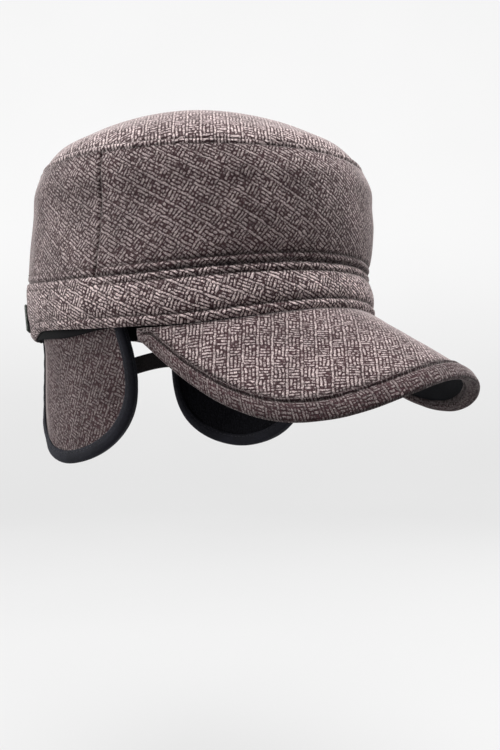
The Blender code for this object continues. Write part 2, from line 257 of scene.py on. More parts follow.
def smooth_table(table, x):
    """A smooth curve through the rows (x, y) of a table."""
    xs, ys = table.T
    slopes = np.gradient(ys, xs)
    i = np.clip(np.searchsorted(xs, x) - 1, 0, len(xs) - 2)
    step = xs[i + 1] - xs[i]
    t = np.clip((x - xs[i]) / step, 0, 1)
    start = (1 + 2 * t) * (1 - t) ** 2 * ys[i] + t * (1 - t) ** 2 * step * slopes[i]
    end = t * t * (3 - 2 * t) * ys[i + 1] + t * t * (t - 1) * step * slopes[i + 1]
    return start + end


def bell(distance, middle, width):
    return np.exp(-(((distance - middle) / width) ** 2))


def ripple(points, size, seed):
    """A soft, uneven swell over points, about -1 to 1, with lumps of about a size."""
    draw = np.random.default_rng(seed)
    waves = unit(draw.normal(size=(8, 3))) * (2 * pi / size) * draw.uniform(0.6, 1.3, (8, 1))
    return np.sin(points @ waves.T + draw.uniform(0, 2 * pi, 8)).sum(-1) / 3


def swells(points, lumps, seed):
    return sum(height * ripple(points, size, seed + n) for n, (height, size) in enumerate(lumps))


def profile(distance, rises):
    """The height of soft ridges and grooves at a distance from a line."""
    return sum(height * bell(distance, at, width) for height, at, width in rises)


def seam_rows(length, near_end=True):
    """Shares of a length: close together near a seam, ROW_STEP apart elsewhere."""
    end = length - (SEAM_ROWS if near_end else np.zeros(1))[::-1]
    count = max(int((end[0] - SEAM_ROWS[-1]) / ROW_STEP), 2)
    middle = np.linspace(SEAM_ROWS[-1], end[0], count + 1)[1:-1]
    return np.concatenate((SEAM_ROWS, middle, end)) / length


def grid_normals(points, wrap, facing):
    """Unit normals of a grid of points [along][across], on the side of the directions in facing."""
    if wrap:
        along = np.roll(points, -1, 0) - np.roll(points, 1, 0)
    else:
        along = np.gradient(points, axis=0)
    across = np.gradient(points, axis=1)
    normal = np.cross(along, across)
    thin = np.linalg.norm(normal, axis=-1) < 1e-14
    normal = unit(normal)
    normal *= np.where((normal * facing).sum(-1) < 0, -1, 1)[..., None]
    normal[thin] = (0, 0, 1)
    return normal


def lengths_across(points):
    """Distance of each grid point from the start of its line."""
    steps = np.linalg.norm(np.diff(points, axis=1), axis=-1)
    return np.concatenate((np.zeros((len(points), 1)), np.cumsum(steps, 1)), 1)


def lengths_along(points):
    return lengths_across(points.swapaxes(0, 1)).T


def running_length(points):
    """Distance of each point of a chain from its start."""
    return lengths_across(points[None])[0]


def closed(line):
    """The line with its first row again at the end."""
    return np.concatenate((line, line[:1]))


def edge_round(distance, radius):
    """How far a rounded edge falls back at a distance from it."""
    left = np.clip(1 - distance / radius, 0, 1)
    return radius * (1 - np.sqrt(1 - left * left))


def turned(x, y, degrees):
    """Flat cloth coordinates on a grain turned by some degrees."""
    c, s = np.cos(radians(degrees)), np.sin(radians(degrees))
    return np.stack(np.broadcast_arrays(c * x - s * y, s * x + c * y), -1)


# Meshes


def add_mesh(name, corners, faces, cloth, material, painted_shade=None):
    """A smooth mesh. faces holds corner numbers, cloth each face corner's place on the flat cloth, and the
    last argument the painted shade of each corner in a seam or groove, 0 to 1."""
    mesh = bpy.data.meshes.new(name)
    mesh.from_pydata(corners, [], faces)
    flat = np.zeros((len(cloth), 3), np.float32)
    flat[:, :2] = cloth
    mesh.attributes.new("cloth", "FLOAT_VECTOR", "CORNER").data.foreach_set("vector", flat.ravel())
    if painted_shade is not None:
        depth = np.ascontiguousarray(painted_shade, np.float32)
        mesh.attributes.new("painted_shade", "FLOAT", "POINT").data.foreach_set("value", depth)
    mesh.shade_smooth()
    mesh.materials.append(material)
    piece = bpy.data.objects.new(name, mesh)
    bpy.context.scene.collection.objects.link(piece)
    return piece


def tube_faces(sections, sides):
    """The faces round an open tube, as corner numbers that run round each section in turn."""
    steps = ((0, 0), (0, 1), (1, 1), (1, 0))
    every = [(j, k) for j in range(sections - 1) for k in range(sides)]
    return [[(j + up) * sides + (k + on) % sides for up, on in steps] for j, k in every]


def add_loops(name, loops, cloth, material, painted_shade=None, wrap=False, poles=False):
    """A closed body from closed sections, loops[along][round].

    With wrap the sections run all the way round, and cloth has one line more than loops. With poles
    the first and the last point of every section are one point each, and the sections stay open there.
    """
    lines, points = loops.shape[:2]
    number = np.arange(lines * points).reshape(lines, points)
    if poles:
        number[:, 0] = number[0, 0]
        number[:, -1] = number[0, -1]
    i, k = np.meshgrid(np.arange(lines if wrap else lines - 1), np.arange(points - poles), indexing="ij")
    i, k = i.ravel(), k.ravel()
    quads_i = np.stack((i, i, i + 1, i + 1), -1)
    quads_k = np.stack((k, (k + 1) % points, (k + 1) % points, k), -1)
    if not wrap:
        k = np.arange(points // 2 - 1)
        start_k = np.stack((points - 1 - k, points - 2 - k, k + 1, k), -1)
        quads_i = np.concatenate((quads_i, 0 * start_k, 0 * start_k + lines - 1))
        quads_k = np.concatenate((quads_k, start_k, start_k[:, ::-1]))
    quads = number[quads_i % lines, quads_k]
    corners = loops.reshape(-1, 3)
    a, b, c, d = corners[quads].swapaxes(0, 1)
    if (np.cross(c - a, d - b) * (a + b + c + d)).sum() < 0:
        quads, quads_i, quads_k = quads[:, ::-1], quads_i[:, ::-1], quads_k[:, ::-1]
    places = cloth[quads_i, quads_k]
    faces, flat = [], []
    for quad, place in zip(quads.tolist(), places):
        keep = [n for n in range(4) if quad[n] != quad[n - 1]]
        faces.append([quad[n] for n in keep])
        flat.append(place[keep])
    used = np.unique(quads)
    fresh = np.zeros(len(corners), int)
    fresh[used] = np.arange(len(used))
    faces = [[int(fresh[n]) for n in face] for face in faces]
    depth = None if painted_shade is None else painted_shade.ravel()[used]
    return add_mesh(name, corners[used].tolist(), faces, np.concatenate(flat), material, depth)


def add_cloth(name, slot, node, outer, inner, cloth, material, painted_shade=None, **ways):
    """A closed sheet from the grids of its two faces. The painted shade given is the outer face's."""
    loops = np.concatenate((outer, inner[:, ::-1]), 1)
    if painted_shade is not None:
        painted_shade = np.concatenate((painted_shade, 0 * painted_shade), 1)
    cloth = np.concatenate((cloth, cloth[:, ::-1]), 1)
    sewn(add_loops(name, loops, cloth, material, painted_shade, **ways), slot, node)


def sewn(piece, slot, *nodes):
    """The piece rides on the cap and stands for CAD nodes, which it hides. slot is not used."""
    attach(piece, "root")
    if nodes:
        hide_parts(*nodes)


def add_stitches(name, path, normal, slot, material, ring=False, radius=0.00021):
    """A row of stitches lying on a path, each a short thread whose ends dip into the cloth."""
    if ring:
        path, normal = closed(path), closed(normal)
    run = running_length(path)
    count = int(run[-1] / STITCH_PITCH)
    starts = (np.arange(count) + 0.5) * run[-1] / count
    shares = np.array((-0.5, -0.32, 0, 0.32, 0.5))
    at = starts[:, None] + shares * STITCH_LENGTH
    middle, out = (np.stack([np.interp(at, run, axis) for axis in line.T], -1) for line in (path, normal))
    out = unit(out)
    side = unit(np.cross(np.gradient(middle, axis=1), out))
    lift = np.array((-1.2, 0.1, 0.45, 0.1, -1.2)) * radius
    thick = np.array((0.55, 0.95, 1.0, 0.95, 0.55)) * radius
    turn = np.linspace(0, 2 * pi, 6, endpoint=False)
    round_thread = np.cos(turn)[:, None] * side[:, :, None] + np.sin(turn)[:, None] * out[:, :, None]
    rings = (middle + lift[:, None] * out)[:, :, None] + thick[:, None, None] * round_thread
    corners = np.arange(len(shares) * len(turn)).reshape(len(shares), -1)
    faces = tube_faces(*corners.shape) + [corners[0, ::-1], corners[-1]]
    place = np.stack(np.broadcast_arrays(shares[:, None] * STITCH_LENGTH, turn * radius), -1).reshape(-1, 2)
    every = [[int(n * corners.size + corner) for corner in face] for n in range(count) for face in faces]
    cloth = [place[corner] + (start, 0) for start in starts for face in faces for corner in face]
    sewn(add_mesh(name, rings.reshape(-1, 3).tolist(), every, np.array(cloth), material), slot)


def line_at(grid, normals, distance, at):
    """The line of a grid that lies at a distance, in a grid of distances that grow across."""

    def picked(values):
        rows = [[np.interp(at, far, axis) for axis in row.T] for far, row in zip(distance, values)]
        return np.array(rows)

    return picked(grid), unit(picked(normals))


# Shader building


class Shader:
    """Short ways to add and join nodes in one node tree."""

    def __init__(self, tree):
        self.tree = tree

    def add(self, kind, inputs=(), **settings):
        node = self.tree.nodes.new(kind)
        for name, value in settings.items():
            setattr(node, name, value)
        for name, value in dict(inputs).items():
            self.put(node.inputs[name], value)
        return node

    def put(self, socket, value):
        if isinstance(value, bpy.types.NodeSocket):
            self.tree.links.new(value, socket)
        else:
            socket.default_value = value

    def math(self, operation, first, second=0.0, third=0.0):
        node = self.add("ShaderNodeMath", {0: first, 1: second, 2: third}, operation=operation)
        return node.outputs[0]

    def plus(self, first, second):
        return self.math("ADD", first, second)

    def times(self, first, second):
        return self.math("MULTIPLY", first, second)

    def times_plus(self, first, second, third):
        return self.math("MULTIPLY_ADD", first, second, third)

    def left(self, share):
        """What a share leaves of 1."""
        return self.math("SUBTRACT", 1.0, share)

    def parts(self, place):
        return self.add("ShaderNodeSeparateXYZ", {0: place}).outputs

    def span(self, value, low, high, to_low=0.0, to_high=1.0):
        """value, taken smoothly from low..high to to_low..to_high."""
        inputs = {"Value": value, "From Min": low, "From Max": high, "To Min": to_low, "To Max": to_high}
        return self.add("ShaderNodeMapRange", inputs, interpolation_type="SMOOTHSTEP").outputs["Result"]

    def blend(self, share, first, second, way="MIX"):
        node = self.add("ShaderNodeMix", data_type="RGBA", blend_type=way)
        for socket, value in zip((node.inputs[0], node.inputs[6], node.inputs[7]), (share, first, second)):
            self.put(socket, value)
        return node.outputs[2]

    def noise(self, place, scale, detail=2.0, roughness=0.5):
        inputs = {"Vector": place, "Scale": scale, "Detail": detail, "Roughness": roughness}
        return self.add("ShaderNodeTexNoise", inputs)

    def cloth(self):
        return self.add("ShaderNodeAttribute", attribute_name="cloth").outputs["Vector"]

    def shaded(self, colour, shade):
        shade = self.add("ShaderNodeCombineColor", {n: shade for n in range(3)}).outputs[0]
        return self.blend(1.0, colour, shade, "MULTIPLY")

    def emboss(self, surface, height, depth, strength=1.0):
        bump = self.add("ShaderNodeBump", {"Strength": strength, "Distance": depth, "Height": height})
        self.put(surface.inputs["Normal"], bump.outputs[0])


def new_group(name, inputs, outputs):
    """A shader node group, its Shader, and its input sockets by name."""
    tree = bpy.data.node_groups.new(name, "ShaderNodeTree")
    for direction, sockets in (("INPUT", inputs), ("OUTPUT", outputs)):
        for socket, start in sockets.items():
            kind = "NodeSocketColor" if isinstance(start, tuple) and len(start) == 4 else "NodeSocketFloat"
            kind = "NodeSocketVector" if isinstance(start, tuple) and len(start) == 3 else kind
            made = tree.interface.new_socket(socket, in_out=direction, socket_type=kind)
            made.default_value = start
    shader = Shader(tree)
    return tree, shader, shader.add("NodeGroupInput").outputs


def close_group(shader, **values):
    end = shader.add("NodeGroupOutput")
    for name, value in values.items():
        shader.put(end.inputs[name.replace("_", " ")], value)


def parquet_weave():
    """Tweed woven in blocks of ribs that lie by turns along and across, with a pale rib between columns.

    Every rib is a twist of pale and dark wool, so it shows as a row of uneven dashes.
    """
    tree, shader, given = new_group(
        "Parquet weave",
        {"Cloth": (0.0, 0.0, 0.0), "Block": 0.0066, "Ribs": 4.0,
         "Wobble": 0.0017, "Twist": 0.88, "Loose": 0.68},
        {"Yarn": 0.0, "Height": 0.0},
    )

    def vector(operation, first, second):
        inputs = {0: first, ("Scale" if operation == "SCALE" else 1): second}
        return shader.add("ShaderNodeVectorMath", inputs, operation=operation).outputs[0]

    place = given["Cloth"]
    for scale, share in ((230.0, 0.8), (800.0, 0.5), (2300.0, 0.3)):
        sway = vector("SUBTRACT", shader.noise(given["Cloth"], scale, 1.0).outputs["Color"], (0.5, 0.5, 0.5))
        sway = vector("SCALE", sway, shader.times(given["Wobble"], share))
        place = vector("ADD", place, sway)
    blocks = [shader.math("DIVIDE", part, given["Block"]) for part in shader.parts(place)[:2]]
    cells = [shader.math("FLOOR", block) for block in blocks]
    inside = [shader.math("FRACT", block) for block in blocks]
    ribs = [shader.times(share, given["Ribs"]) for share in inside]
    numbers = [shader.math("FLOOR", rib) for rib in ribs]
    line = shader.math("LESS_THAN", numbers[0], 0.5)
    turn = shader.math("FLOORED_MODULO", shader.plus(*cells), 2.0)
    turn = shader.math("MAXIMUM", turn, line)
    turned_back = shader.left(turn)

    def either(first, second):
        return shader.plus(shader.times(first, turn), shader.times(second, turned_back))

    rib = shader.math("COSINE", shader.times(shader.math("FRACT", either(*ribs)), 2 * pi))
    rib = shader.span(shader.times_plus(rib, -0.5, 0.5), 0.02, 0.66)
    end = shader.math("PINGPONG", either(inside[1], inside[0]), 0.5)
    end = shader.math("MAXIMUM", shader.span(end, 0.0, 0.10, 0.25, 1.0), line)
    rib = shader.times(rib, end)
    dashes_in_block, ribs_apart, noise_step = 4.8, 7.0, 5.37
    along = shader.times(either(blocks[1], blocks[0]), dashes_in_block)
    across = shader.plus(either(*numbers), shader.times(either(*cells), ribs_apart))
    across = shader.times(across, noise_step)
    seed = shader.add("ShaderNodeCombineXYZ", {0: along, 1: across, 2: turn}).outputs[0]
    dash = shader.span(shader.noise(seed, 1.0, 1.5).outputs["Fac"], 0.34, 0.60)
    rest = shader.left(given["Twist"])
    rest = shader.times_plus(line, 0.12, rest)
    rib = shader.times(rib, shader.times_plus(dash, given["Twist"], rest))
    slub = shader.span(shader.noise(given["Cloth"], 2100.0, 2.0, 0.6).outputs["Fac"], 0.36, 0.60)
    rest = shader.left(given["Loose"])
    yarn = shader.times(rib, shader.times_plus(slub, given["Loose"], rest))
    close_group(shader, Yarn=yarn, Height=shader.times_plus(rib, 0.7, shader.times(yarn, 0.3)))
    return tree


def wool_mottle():
    """Slow and quick changes of shade over a wool cloth, about 0.8 to 1.2."""
    tree, shader, given = new_group(
        "Wool mottle", {"Cloth": (0.0, 0.0, 0.0), "Slow": 0.16, "Quick": 0.38}, {"Shade": 1.0}
    )
    slow = shader.span(shader.noise(given["Cloth"], 55.0, 2.0).outputs["Fac"], 0.3, 0.7, -1.0, 1.0)
    quick = shader.span(shader.noise(given["Cloth"], 800.0, 3.0, 0.7).outputs["Fac"], 0.3, 0.7, -1.0, 1.0)
    shade = shader.times_plus(slow, given["Slow"], 1.0)
    close_group(shader, Shade=shader.times_plus(quick, given["Quick"], shade))
    return tree


def tape_ribs():
    """Fine ribs along or across a tape or elastic, with a nap of small fibres."""
    tree, shader, given = new_group(
        "Tape ribs", {"Cloth": (0.0, 0.0, 0.0), "Pitch": 0.0006, "Nap": 0.3}, {"Height": 0.0}
    )
    parts = shader.parts(given["Cloth"])
    turns = shader.math("DIVIDE", shader.plus(parts[0], parts[1]), given["Pitch"])
    rib = shader.times_plus(shader.math("SINE", shader.times(turns, 2 * pi)), 0.5, 0.5)
    nap = shader.noise(given["Cloth"], 1500.0, 3.0).outputs["Fac"]
    close_group(shader, Height=shader.times_plus(nap, given["Nap"], rib))
    return tree


GROUPS = {"weave": parquet_weave(), "mottle": wool_mottle(), "tape": tape_ribs()}


def new_material(name, colour, roughness, sheen, sheen_roughness, sheen_tint, specular=0.15):
    """A Principled material with its even values set, and its Shader and shader node."""
    material = bpy.data.materials.new(name)
    material.use_nodes = True
    shader = Shader(material.node_tree)
    surface = material.node_tree.nodes["Principled BSDF"]
    surface.inputs["Base Color"].default_value = (*colour, 1)
    surface.inputs["Roughness"].default_value = roughness
    surface.inputs["Specular IOR Level"].default_value = specular
    surface.inputs["Sheen Weight"].default_value = sheen
    surface.inputs["Sheen Roughness"].default_value = sheen_roughness
    surface.inputs["Sheen Tint"].default_value = (*sheen_tint, 1)
    material.diffuse_color = (*colour, 1)
    return material, shader, surface


def group_node(shader, name, **inputs):
    node = shader.add("ShaderNodeGroup", node_tree=GROUPS[name])
    for socket, value in inputs.items():
        shader.put(node.inputs[socket], value)
    return node.outputs


def tweed(name, painted_light_tone=1.0, fuzz_sheen_share=0.75, fuzz_sheen_from=0.55, **weave_values):
    """Wool tweed: pale yarns over a dark ground, with a fuzz that pales it where it is seen edge-on, partly
    loose fibres and partly painted sheen. The tone makes the whole cloth lighter or darker as painted light
    and shade.
    """
    # Painted light and shade: the tone makes the pale yarn of this piece lighter or darker.
    pale = tuple(painted_light_tone * part for part in PALE_YARN)
    material, shader, surface = new_material(name, pale, 0.92, 0.12, 0.5, (0.9, 0.85, 0.83))
    cloth = shader.cloth()
    weave = group_node(shader, "weave", Cloth=cloth, **weave_values)
    mottle = group_node(shader, "mottle", Cloth=cloth)
    colour = shader.blend(shader.span(weave["Yarn"], 0.0, 0.80), (*DARK_YARN, 1), (*pale, 1))
    # Painted shade: the colour is darkened unevenly in seams and stitch grooves, as much as each corner's
    # painted shade says.
    painted_shade = shader.add("ShaderNodeAttribute", attribute_name="painted_shade").outputs["Fac"]
    painted_shade_depth = shader.span(shader.noise(cloth, 420.0).outputs["Fac"], 0.3, 0.7, -0.45, -0.85)
    shade = shader.times(mottle["Shade"], shader.times_plus(painted_shade, painted_shade_depth, 1.0))
    colour = shader.shaded(colour, shade)
    # Painted sheen, partly loose fibres: the colour pales where the cloth is seen edge-on.
    facing = shader.add("ShaderNodeLayerWeight", {"Blend": 0.35}).outputs["Facing"]
    share = shader.times(shader.span(facing, fuzz_sheen_from, 1.0), fuzz_sheen_share)
    shader.put(surface.inputs["Base Color"], shader.blend(share, colour, (*FUZZ_AND_SHEEN, 1)))
    shader.emboss(surface, weave["Height"], YARN_HEIGHT)
    return material


def black_cloth(name, colour, pitch, nap, depth, roughness=0.8, sheen=0.08):
    """Black tape or cotton with fine ribs."""
    material, shader, surface = new_material(name, colour, roughness, sheen, 0.4, (0.6, 0.65, 0.8), 0.09)
    cloth = shader.cloth()
    ribs = group_node(shader, "tape", Cloth=cloth, Pitch=pitch, Nap=nap)
    mottle = group_node(shader, "mottle", Cloth=cloth, Slow=0.25, Quick=0.35)
    shader.put(surface.inputs["Base Color"], shader.shaded((*colour, 1), mottle["Shade"]))
    shader.emboss(surface, ribs["Height"], depth, 0.8)
    return material


def fleece_nap(name, colour):
    """Short black pile in small clumps."""
    material, shader, surface = new_material(name, colour, 0.95, 0.05, 0.5, (0.6, 0.6, 0.7), 0.06)
    cloth = shader.cloth()
    clumps = shader.add("ShaderNodeTexVoronoi", {"Vector": cloth, "Scale": 750.0}).outputs["Distance"]
    hairs = shader.noise(cloth, 2600.0, 3.0).outputs["Fac"]
    height = shader.times_plus(hairs, 0.5, shader.left(clumps))
    shader.emboss(surface, height, 0.0006)
    # Painted shade: the pile is darker between the clumps, where it is lower.
    shade = shader.span(clumps, 0.0, 0.6, 1.3, 0.5)
    shader.put(surface.inputs["Base Color"], shader.shaded((*colour, 1), shade))
    return material


def worn_patch(name, colour, spot):
    """A dark, bare patch with a mottled, slightly glossy face."""
    material, shader, surface = new_material(name, colour, 0.5, 0.0, 0.5, (1.0, 1.0, 1.0))
    spots = shader.span(shader.noise(shader.cloth(), 480.0, 4.0, 0.6).outputs["Fac"], 0.48, 0.66)
    shader.put(surface.inputs["Base Color"], shader.blend(spots, (*colour, 1), (*spot, 1)))
    shader.put(surface.inputs["Roughness"], shader.span(spots, 0.0, 1.0, 0.42, 0.7))
    shader.emboss(surface, spots, 0.0002, 0.6)
    return material


DARK_YARN = (0.036, 0.015, 0.018)
PALE_YARN = (0.67, 0.55, 0.54)
# The colour that tweed pales to edge-on: loose fibres and painted sheen.
FUZZ_AND_SHEEN = (0.42, 0.36, 0.355)
YARN_HEIGHT = 0.0006
# The tone of each piece is painted light and shade: one tweed, made lighter on the band and darker on the top,
# wall, peak, peak edge and flaps, as the light falls on them.
top_tweed = tweed("crown top tweed", 0.90, Twist=0.80, Loose=0.60)
wall_tweed = tweed("crown wall tweed", 0.68, 0.75)
band_tweed = tweed("band tweed", 1.14, 0.15)
peak_tweed = tweed("peak tweed", 0.78)
edge_tweed = tweed("peak edge tweed", 0.39, 0.5, Block=0.0060, Twist=0.92, Loose=0.76)
flap_tweed = tweed("flap tweed", 0.44, 0.7, 0.62, Block=0.0068, Twist=0.95, Loose=0.78)
thread = new_material("seam thread", (0.060, 0.042, 0.040), 0.7, 0.2, 0.4, (0.8, 0.75, 0.7))[0]
black_thread = new_material("black thread", (0.01, 0.01, 0.012), 0.6, 0.2, 0.4, (0.5, 0.5, 0.6))[0]
bias_tape = black_cloth("black bias tape", (0.008, 0.008, 0.012), 0.0007, 0.5, 0.00010, 0.7)
band_tape = black_cloth("black sweatband tape", (0.0015, 0.0015, 0.002), 0.0009, 0.4, 0.00012, 0.9, 0.0)
peak_cotton = black_cloth("black peak lining", (0.002, 0.002, 0.003), 0.0005, 0.6, 0.00008, 0.9, 0.02)
elastic_web = black_cloth("black elastic", (0.026, 0.022, 0.023), 0.0011, 0.2, 0.00025, 0.7)
fleece_pile = fleece_nap("black fleece", (0.004, 0.004, 0.006))
patch_finish = worn_patch("dark patch", (0.06, 0.07, 0.062), (0.22, 0.25, 0.225))


# Crown


def crown_point(angle, level):
    """The point at an angle and level: 0 at the band seam, 1 at the top seam, 2 in the middle on top."""
    angle, level = np.broadcast_arrays(angle, level)
    wall = np.clip(level, 0, 1)[..., None]
    rings = (1 - wall) * (1 - 2 * wall) * BAND_SEAM + 4 * wall * (1 - wall) * MID_WALL
    rings = rings + wall * (2 * wall - 1) * TOP_SEAM
    reach = 1 - np.clip(level - 1, 0, 1)
    flat = np.ones_like(reach)
    shrink = np.stack((reach, reach, flat, flat, flat, reach, reach**2, flat), -1)
    point = ring_point(rings * shrink, angle)
    point[..., 2] += DOME_RISE * (1 - reach**DOME_ROUNDNESS)
    from_seam = np.where(level < 1, (1 - level) * WALL_HEIGHT, (level - 1) * HEAD_RADIUS)
    pull = SHOULDER * behind(angle) * bell(from_seam, 0, SHOULDER_REACH)
    pull += SHOULDER_CREASE * bell(from_seam, 0, CREASE_REACH)
    push = SHOULDER_FULLNESS * bell(from_seam, FULLNESS_DISTANCE, FULLNESS_REACH) - pull
    rise = eased(level, 0.9, 1.12)[..., None]
    return point + push[..., None] * ((1 - 0.4 * rise) * outward(angle) + (0.15 + 0.75 * rise) * UP)


def from_front(angle):
    """How far an angle is turned from the front, 0 to pi."""
    return np.abs((angle + pi) % (2 * pi) - pi)


def in_front(angle):
    """1 in front, falling past the temples to 0.15 at the back, where the seams lie flat."""
    return 1 - 0.85 * eased(from_front(angle), radians(38), radians(95))


def behind(angle):
    """1 at the back, where the crown's shoulder is soft, falling to 0 in front."""
    return eased(from_front(angle), radians(70), radians(120))


def seam_relief(distance, stitch, force):
    """How a cloth's face rises and falls at a distance from a seam that it is topstitched beside."""
    tuck = -TUCK_DEPTH * bell(distance, 0, TUCK_WIDTH) * (0.5 + 0.5 * force)
    roll = ROLL * bell(distance, stitch / 2, stitch / 3.2)
    groove = -GROOVE_DEPTH * bell(distance, stitch, GROOVE_WIDTH)
    valley = -VALLEY_DEPTH * bell(distance, 0, VALLEY_WIDTH)
    return tuck + force * (roll + groove + valley)


def seam_painted_shade(distance, stitch, force):
    """Painted shade on a cloth's face at a distance from a seam, 0 to 1: how much its colour is darkened where
    the seam and its stitch groove lie in shade.
    """
    seam = bell(distance, 0, 0.0012) * (0.6 + 0.4 * force)
    return np.clip(seam + 0.9 * force * bell(distance, stitch, STITCH_SHADE), 0, 1)


def puckers(run, distance, gathers, seed):
    """Small gathers along a stitched seam, fading away from it."""
    height, pitch, reach = gathers
    sway = ripple(np.stack((run, 0 * run, 0 * run), -1), 0.05, seed)
    return height * np.sin(2 * pi * run / pitch + 2.5 * sway) * (0.6 + 0.4 * sway) * np.exp(-distance / reach)


def add_wall(name, start, end, node, seed):
    """A wall panel, with its columns closer together near its two side seams."""
    angles = start + (end - start) * seam_rows((end - start) * HEAD_RADIUS)
    angle, level = np.meshgrid(angles, seam_rows(WALL_HEIGHT), indexing="ij")
    base = crown_point(angle, level)
    facing = outward(angle)
    normals = grid_normals(base, False, facing)
    up, along = lengths_across(base), lengths_along(base)
    from_top = up[:, -1:] - up
    from_side = np.minimum(along, along[-1:] - along)
    run = angle * HEAD_RADIUS
    force = in_front(angle)
    relief = seam_relief(up, BAND_STITCH, force) + profile(from_top, WALL_TOP_EDGE)
    relief += profile(from_side, SIDE_SEAM) + swells(base, WALL_SWELLS, seed)
    relief += puckers(run, from_top, WALL_TOP_GATHERS, seed + 2)
    relief += puckers(run, up, WALL_BAND_GATHERS, seed + 3) + puckers(up, from_side, SIDE_GATHERS, seed + 4)
    outer = base + relief[..., None] * normals
    inner = base - TWEED * normals
    cloth = turned(run, up, WALL_GRAIN) + (0.013 * seed, 0.031 * seed)
    # Painted shade in the seams and stitch grooves of the wall.
    painted_shade = np.maximum(0.8 * bell(from_top, 0, 0.0009), seam_painted_shade(up, BAND_STITCH, force))
    painted_shade = np.maximum(painted_shade, 0.6 * bell(from_side, 0, 0.0008))
    add_cloth(name, "tweed", node, outer, inner, cloth, wall_tweed, painted_shade)
    path, out = line_at(outer, grid_normals(outer, False, facing), up, BAND_STITCH)
    add_stitches(f"{name}_stitches", path, out, "tweed", thread)


def add_top():
    levels = 1 + seam_rows(HEAD_RADIUS, near_end=False)
    angle, level = np.meshgrid(ALL_ROUND, levels, indexing="ij")
    base = crown_point(angle, level)
    normals = grid_normals(base, True, UP)
    from_seam = lengths_across(base)
    force = 0.3 + 0.7 * in_front(angle)
    relief = profile(from_seam, TOP_EDGE) + force * profile(from_seam, TOP_WELT)
    relief += swells(base, TOP_SWELLS, 21) * (1 - bell(from_seam, 0, 0.003))
    relief += puckers(angle * HEAD_RADIUS, from_seam, TOP_GATHERS, 22)
    outer = base + relief[..., None] * normals
    inner = base - TWEED * normals
    middle = outer[:, -1].mean(0)
    outer[:, -1] = middle
    inner[:, -1] = middle - TWEED * UP
    loops = np.concatenate((outer[:, ::-1], inner), 1)
    cloth = closed(turned(base[..., 0], base[..., 1], TOP_GRAIN))
    cloth = np.concatenate((cloth[:, ::-1], cloth), 1)
    # Painted shade in the top seam and its stitch groove.
    painted_shade = 0.8 * force * bell(from_seam, TOP_STITCH, STITCH_SHADE)
    painted_shade = np.maximum(painted_shade, 0.9 * bell(from_seam, 0, 0.0011))
    painted_shade = np.concatenate((painted_shade[:, ::-1], 0 * painted_shade), 1)
    piece = add_loops("crown_top_cloth", loops, cloth, top_tweed, painted_shade, wrap=True, poles=True)
    sewn(piece, "tweed", "crown_top")
    path, out = line_at(outer, grid_normals(outer, True, UP), from_seam, TOP_STITCH)
    add_stitches("crown_top_stitches", path, out, "tweed", thread, ring=True)


# Band


def band_base(angle, height):
    """The point on the plain band at a share of its height."""
    height = height[..., None]
    return ring_point((1 - height) * RIM + height * BAND_SEAM, angle)


def rim_dip(angle, height):
    """How far the band's lower edge droops: a little over the peak, more behind the flaps' roots."""
    away = from_front(angle)
    front = FRONT_DIP * (1 - eased(away, radians(55), radians(75)))
    nape = NAPE_DIP * eased(away, radians(114), radians(131)) * (1 - eased(away, radians(143), radians(157)))
    return (front + nape) * (1 - height) ** 2


def band_fullness(angle):
    towards_back = (1 - np.cos(angle)) / 2
    return BAND_PUFF * (BAND_PUFF_IN_FRONT + (1 - BAND_PUFF_IN_FRONT) * towards_back)


def add_band():
    angle, height = np.meshgrid(ALL_ROUND, seam_rows(BAND_HEIGHT), indexing="ij")
    base = band_base(angle, height) - rim_dip(angle, height)[..., None] * UP
    out = outward(angle)
    up = lengths_across(base)
    from_seam = up[:, -1:] - up
    run = angle * HEAD_RADIUS
    force = in_front(angle)
    welt = 0.25 + 0.75 * force
    relief = smooth_table(BAND_SECTION, height) * band_fullness(angle)
    relief += profile(up, RIM_EDGE) + welt * profile(up, RIM_WELT) + force * profile(up, BAND_BELLY)
    relief += profile(from_seam, BAND_TOP_EDGE) + force * profile(from_seam, BAND_WELT)
    relief += swells(base, BAND_SWELLS, 31)
    relief += puckers(run, up, RIM_GATHERS, 33) + puckers(run, from_seam, BAND_TOP_GATHERS, 34)
    outer = base + relief[..., None] * out
    inner = base - TWEED * out
    cloth = closed(turned(run, up, BAND_GRAIN))
    cloth[-1] = turned(run[0] + 2 * pi * HEAD_RADIUS, up[0], BAND_GRAIN)
    # Painted shade in the lower stitch groove and along the upper seam of the band.
    painted_shade = 0.9 * welt * bell(up, RIM_STITCH, STITCH_SHADE)
    painted_shade = np.maximum(painted_shade, seam_painted_shade(from_seam, BAND_STITCH, force))
    add_cloth("band_cloth", "tweed", "band", outer, inner, cloth, band_tweed, painted_shade, wrap=True)
    normals = grid_normals(outer, True, out)
    path, lie = line_at(outer, normals, up, RIM_STITCH)
    add_stitches("band_stitches_lower", path, lie, "tweed", thread, ring=True)
    path, lie = line_at(outer[:, ::-1], normals[:, ::-1], from_seam[:, ::-1], BAND_STITCH)
    add_stitches("band_stitches_upper", path, lie, "tweed", thread, ring=True)


